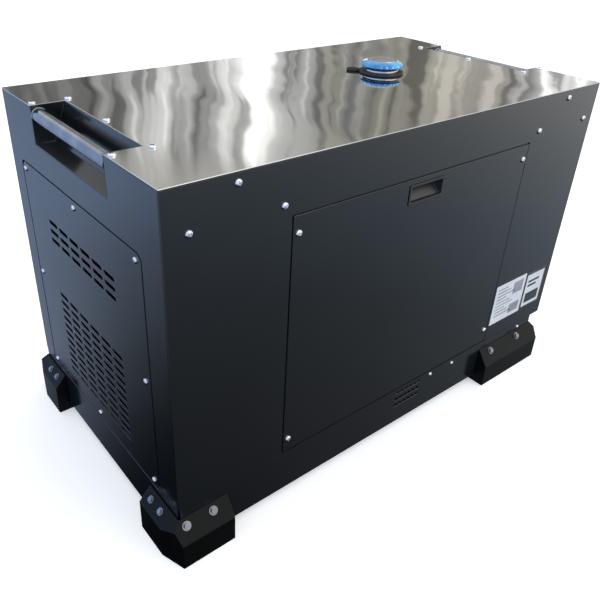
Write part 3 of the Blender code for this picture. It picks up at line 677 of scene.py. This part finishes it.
def fasteners(name, mesh, places, normal, body="cabinet", slot="chrome", scale=1.0, look=None):
    """A row of fasteners as one piece: copies of a mesh at places, each turned by another angle."""
    bm = bmesh.new()
    stand = Vector(normal).to_track_quat("Z", "Y").to_matrix().to_4x4()
    for number, place in enumerate(places):
        start = len(bm.verts)
        bm.from_mesh(mesh)
        bm.verts.ensure_lookup_table()
        turn = Matrix.Rotation(0.7 + 1.9 * number, 4, "Z")
        matrix = Matrix.Translation(Vector(place)) @ stand @ turn @ Matrix.Scale(scale, 4)
        bmesh.ops.transform(bm, matrix=matrix, verts=bm.verts[start:])
    piece_from(bm, name, body, slot, look=look, sharp=30)


def screws():
    """The pan-head screws of the door, the sheets, the vent panels and the hand recesses."""
    screw = cross_screw()
    front, left, right, back = (0, -1, 0), (-1, 0, 0), (1, 0, 0), (0, 1, 0)
    band_scale, vent_scale, plate_scale = 0.75, 0.85, 0.75
    door = [(0.243, 0, 0.570), (0.854, 0, 0.570), (0.243, 0, 0.131), (0.854, 0, 0.136)]
    fasteners("door_screws", screw, door, front, "service_door")
    panel = [(x, 0, 0.625) for x in (0.043, 0.212, 0.893, 1.065)]
    panel += [(x, 0, 0.682) for x in (0.126, 0.981)]
    band = [(0.667, 0, 0.088), (0.745, 0, 0.085), (1.011, 0, 0.083)]
    fasteners("front_panel_screws", screw, panel, front)
    fasteners("front_band_screws", screw, band, front, scale=band_scale)
    grid = [(y, z) for y in (0.0825, 0.3045, 0.5265) for z in (0.105, 0.3325, 0.560)]
    ring = grid[:4] + grid[5:]
    lowest_right = 0.131
    vent = [(0, y, z) for y, z in ring]
    fasteners("left_vent_screws", screw, vent, left, scale=vent_scale)
    vent = [(LENGTH, y, max(z, lowest_right)) for y, z in ring]
    fasteners("right_vent_screws", screw, vent, right, scale=vent_scale)
    corners = [(0.008, 0.459), (0.073, 0.457), (0.074, 0.303), (0.074, 0.147), (0.008, 0.147)]
    fasteners("left_recess_screws", screw, [(x, y, HEIGHT) for x, y in corners], UP)
    fasteners("right_recess_screws", screw, [(mirrored(x), y, HEIGHT) for x, y in corners], UP)
    rear = [(x, WIDTH, z) for x in (0.040, 0.560, 1.060) for z in (0.140, 0.640)]
    plate = [(x, WIDTH, z) for x in (0.652, 0.840, 1.028) for z in (0.262, 0.593)]
    fasteners("rear_screws", screw, rear, back)
    fasteners("control_panel_screws", screw, plate, back, scale=plate_scale)


def on_plate(fold, meet, out, share):
    """A bolt on a slanted plate: how far out and how high it is, and the plate's normal as how far
    it points out and up."""
    return out * (1 - share), fold + (meet - fold) * share, (meet - fold, out)


def foot_bolts():
    """Two bolts through each slanted plate of each foot."""
    bolt = hex_bolt()
    tray_end = inside("base_tray")[1].x
    front_out, front_height, (front_level, front_up) = on_plate(*FRONT_PLATE)
    end_out, end_height, (end_level, end_up) = on_plate(*END_PLATE)
    for depth in ("front", "rear"):
        at_front = depth == "front"
        y = -front_out if at_front else WIDTH + front_out
        front_slope = (0, -front_level if at_front else front_level, front_up)
        inward = [v if at_front else WIDTH - v for v in END_BOLTS]
        for side, across in FRONT_BOLTS.items():
            places = [(x, y, front_height) for x in across]
            fasteners(f"foot_bolts_{depth}_{side}", bolt, places,
                      Vector(front_slope).normalized(), slot="zinc_steel", look=BAR_STEEL)
            at_left = side == "left"
            x = -end_out if at_left else tray_end + end_out
            end_slope = (-end_level if at_left else end_level, 0, end_up)
            places = [(x, v, end_height) for v in inward]
            fasteners(f"foot_side_bolts_{depth}_{side}", bolt, places,
                      Vector(end_slope).normalized(), slot="zinc_steel", scale=0.8, look=BAR_STEEL)


# ---------------------------------------------------------------- blank labels
def label(name, low, high, bars, border=0.0):
    """A printed label with nothing to read on it: a pale ground, an optional border and plain bars,
    given as shares of the label's width and height."""
    face = -0.00035
    ground = sheet_mesh(rounded(low, high, 0.002), [], "Y", face, -0.00005, 0.0001)
    piece_from(ground, name, "cabinet", "gloss_anthracite", look=LABEL_WHITE)
    width, height = high[0] - low[0], high[1] - low[1]
    depth = (face - 0.00012, face + 0.00002, 0.00002)       # near, far and rounding of the print
    ink = bmesh.new()
    for left, under, right, over in bars:
        first = (low[0] + width * left, low[1] + height * under)
        last = (low[0] + width * right, low[1] + height * over)
        add_mesh(ink, sheet_mesh(rounded(first, last, 0.0004, 2), [], "Y", *depth))
    if border:
        inner = grown(low, high, -border, 0.001)
        add_mesh(ink, sheet_mesh(rounded(low, high, 0.002), [inner], "Y", *depth))
    piece_from(ink, name + "_print", "cabinet", "gloss_anthracite",
               look=LABEL_INK if border else LABEL_GREY)


def labels():
    lines = [(0.08, 0.86 - 0.085 * row, 0.40 + 0.12 * (row % 3), 0.89 - 0.085 * row)
             for row in range(9)]
    blocks = [(0.60, 0.60, 0.92, 0.90), (0.58, 0.10, 0.92, 0.34)]
    label("rating_label", (0.873, 0.139), (0.995, 0.249), lines + blocks)
    bars = [(0.16, 0.14, 0.84, 0.42), (0.16, 0.60, 0.60, 0.66), (0.16, 0.72, 0.72, 0.78)]
    label("side_label", (0.998, 0.140), (1.081, 0.243), bars, 0.005)


# ---------------------------------------------------------------- the rest keeps its CAD shape
def soften_the_rest():
    """Rounds the edges of the larger CAD shapes, and gives every CAD node its material."""
    foot_edge = 0.0018
    edges = {
        "base_tray": FOLD, "foot_front_left": foot_edge, "foot_front_right": foot_edge,
        "foot_rear_left": foot_edge, "foot_rear_right": foot_edge, "left_handle_recess": 0.0007,
        "right_handle_recess": 0.0007, "engine_cradle": 0.0015, "cylinder_head_1": 0.0012,
        "cylinder_head_2": 0.0012, "engine_block": 0.0015, "alternator_housing": 0.0015,
        "battery": 0.0012, "control_panel": 0.0006, "door_frame": 0.0005,
        "socket_lid_1": 0.0008, "socket_lid_2": 0.0008,
    }
    for node, width in edges.items():
        softened(node, width)
    for name, node in frame["nodes"].items():
        node.data.materials.clear()
        node.data.materials.append(LOOKS[SLOTS[name]])


# ---------------------------------------------------------------- floor, light, camera
def key_light():
    """One soft light over the front right."""
    place, aim = Vector((1.5, -3.0, 3.4)), Vector((0.2, 0, 0.4))
    light = bpy.data.lights.new("key", "AREA")
    light.shape = "RECTANGLE"
    light.size, light.size_y = 2.5, 2.5
    light.energy = 40
    light.color = (1.0, 0.97, 0.92)
    obj = linked("key", light)
    obj.location = place
    obj.rotation_euler = (aim - place).to_track_quat("-Z", "Y").to_euler()
    obj.visible_camera = False


def studio():
    """The lights, and a pale floor that is left out of the object's reflections and bounced
    light."""
    look = Surface("floor_look", roughness=0.9, Emission_Color=(1, 1, 1, 1), Emission_Strength=0.35)
    look.colour(look.noise(3, 4), (0.2, 0.88), (0.8, 0.90))
    bm = bmesh.new()
    bmesh.ops.create_grid(bm, x_segments=4, y_segments=4, size=40)
    floor = linked("floor", mesh_from(bm, "floor"))
    floor.data.materials.append(look.material)
    floor.visible_glossy = False
    floor.visible_diffuse = False
    key_light()
    surroundings()


class Sky:
    """The world's node tree and the few nodes that the surroundings are made of."""

    def __init__(self, name):
        self.world = bpy.data.worlds.new(name)
        self.world.use_nodes = True
        self.tree = self.world.node_tree
        split = self.tree.nodes.new("ShaderNodeSeparateXYZ")
        direction = self.tree.nodes.new("ShaderNodeTexCoord").outputs["Generated"]
        self.tree.links.new(direction, split.inputs["Vector"])
        self.east, north, self.height = (split.outputs[axis] for axis in "XYZ")
        turn = self.math("ARCTAN2", self.east, north)
        self.azimuth = self.math("MULTIPLY", turn, 180 / math.pi)

    def put(self, value, socket):
        """Sets a socket to a number or a colour, or links an output to it."""
        if isinstance(value, (int, float)):
            socket.default_value = value
        elif isinstance(value, tuple):
            socket.default_value = (*value, 1.0)
        else:
            self.tree.links.new(value, socket)

    def math(self, operation, *values):
        node = self.tree.nodes.new("ShaderNodeMath")
        node.operation = operation
        for socket, value in zip(node.inputs, values):
            self.put(value, socket)
        return node.outputs["Value"]

    def inverse(self, value):
        return self.math("SUBTRACT", 1.0, value)

    def ramp(self, source, low, high, *stops):
        """A colour by a source that runs from low to high; stops are (source value, colour)."""
        node = self.tree.nodes.new("ShaderNodeValToRGB")
        set_stops(node, [((value - low) / (high - low), colour) for value, colour in stops])
        share = self.math("DIVIDE", self.math("SUBTRACT", source, low), high - low)
        self.put(share, node.inputs["Fac"])
        return node.outputs["Color"]

    def mix(self, factor, first, second, blend="MIX"):
        node = self.tree.nodes.new("ShaderNodeMix")
        node.data_type = "RGBA"
        node.blend_type = blend
        for name, value in (("Factor", factor), ("A", first), ("B", second)):
            self.put(value, node.inputs[name])
        return node.outputs["Result"]

    def spread(self, source, low, high):
        """A smooth step from 0 where the source is low to 1 where it is high."""
        node = self.tree.nodes.new("ShaderNodeMapRange")
        node.interpolation_type = "SMOOTHSTEP"
        node.inputs["From Min"].default_value = low
        node.inputs["From Max"].default_value = high
        self.put(source, node.inputs["Value"])
        return node.outputs["Result"]

    def streaks(self):
        """Ragged upright lines, around 1."""
        noise = self.tree.nodes.new("ShaderNodeTexNoise")
        noise.noise_dimensions = "2D"
        noise.inputs["Scale"].default_value = 1.0
        noise.inputs["Detail"].default_value = 3.0
        place = self.tree.nodes.new("ShaderNodeCombineXYZ")
        self.put(self.math("MULTIPLY", self.azimuth, 0.75), place.inputs["X"])
        self.put(self.math("MULTIPLY", self.height, 3.0), place.inputs["Y"])
        self.put(place.outputs["Vector"], noise.inputs["Vector"])
        return self.ramp(noise.outputs["Fac"], 0, 1,
                         (0.39, 0.40), (0.43, 0.80), (0.58, 1.0), (0.61, 1.4))


def hall_colour(sky):
    """The hall behind the object: tones by azimuth under streaks, and a plain tone higher up."""
    hall = sky.ramp(
        sky.azimuth, 0, 90,
        (10, 0.09), (21, 0.10), (24, 0.17), (27, 0.38), (28.5, 0.50), (30, 0.28), (31.5, 0.20),
        (33.5, 0.30), (35, 0.50), (36, 0.80), (37.6, 0.80), (38.4, 0.42), (40, 0.34), (41.5, 0.27),
        (43, (0.23, 0.225, 0.20)), (45, 0.15), (48, (0.19, 0.185, 0.16)), (52, (0.25, 0.24, 0.215)),
        (57, (0.26, 0.245, 0.23)), (59, 0.36), (60, 0.85), (61, 0.62), (64, 0.50), (80, 0.36),
    )
    hall = sky.mix(1.0, hall, sky.streaks(), "MULTIPLY")
    return sky.mix(sky.spread(sky.height, 0.30, 0.42), hall, (0.31, 0.305, 0.285))


def ground_colour(sky):
    """A ground that darkens downwards, sky blue on the left."""
    ground = sky.ramp(
        sky.height, -1, 0,
        (-0.80, 0.012), (-0.66, 0.055), (-0.52, (0.10, 0.115, 0.125)), (-0.40, (0.18, 0.22, 0.26)),
        (-0.30, (0.32, 0.35, 0.37)), (-0.21, 0.56), (-0.02, 0.60),
    )
    left = sky.ramp(
        sky.height, -1, 0,
        (-0.76, 0.0), (-0.67, 0.010), (-0.57, (0.060, 0.072, 0.085)), (-0.46, (0.14, 0.175, 0.25)),
        (-0.37, (0.24, 0.33, 0.50)), (-0.02, (0.28, 0.37, 0.55)),
    )
    left_far = sky.ramp(
        sky.height, -1, 0,
        (-0.74, 0.0), (-0.66, (0.085, 0.105, 0.145)), (-0.58, (0.17, 0.21, 0.29)),
        (-0.40, (0.17, 0.23, 0.34)), (-0.02, (0.19, 0.26, 0.39)),
    )
    left = sky.mix(sky.spread(sky.azimuth, -25, -15), left, left_far)
    return sky.mix(sky.spread(sky.east, 0.06, -0.16), ground, left)


def surroundings():
    """What the object mirrors: plain and pale above, a hall low behind it and a ground below."""
    sky = Sky("studio")
    bpy.context.scene.world = sky.world
    left_end, right_end = sky.spread(sky.azimuth, 0, 12), sky.spread(sky.azimuth, 72, 84)
    behind = sky.math("MULTIPLY", left_end, sky.inverse(right_end))
    behind = sky.math("MULTIPLY", behind, sky.inverse(sky.spread(sky.height, 0.46, 0.60)))
    low_sky = sky.inverse(sky.spread(sky.height, 0.30, 0.75))
    left_sky = sky.math("MULTIPLY", sky.spread(sky.east, 0.05, -0.30), low_sky)
    above = sky.mix(left_sky, (0.54, 0.55, 0.56), (0.26, 0.36, 0.56))
    above = sky.mix(behind, above, hall_colour(sky))
    colour = sky.mix(sky.spread(sky.height, -0.02, 0.02), ground_colour(sky), above)
    background = sky.tree.nodes["Background"]
    sky.put(colour, background.inputs["Color"])
    background.inputs["Strength"].default_value = 2.1


def camera():
    """The photograph's view: the pose, lens and shift that fit the cabinet's edges in it."""
    place = Vector((-0.9107, -1.0017, 1.0544))
    right = Vector((0.7810, -0.6217, 0.0368))
    up = Vector((0.2876, 0.4119, 0.8650))
    data = bpy.data.cameras.new("photo_camera")
    data.sensor_width = 36.0
    data.lens = 39.46
    data.shift_x, data.shift_y = 0.0272, -0.0427
    obj = linked("photo_camera", data)
    axes = Matrix((right, up, right.cross(up))).transposed()
    obj.matrix_world = Matrix.Translation(place) @ axes.to_4x4()
    bpy.context.scene.camera = obj
    bpy.context.scene.view_settings.view_transform = "Standard"


front_sheets()
finger_pull()
ends()
top_sheet()
rear_sheet()
handle_bars()
fuel_filler()
tether()
screws()
foot_bolts()
labels()
soften_the_rest()
studio()
camera()
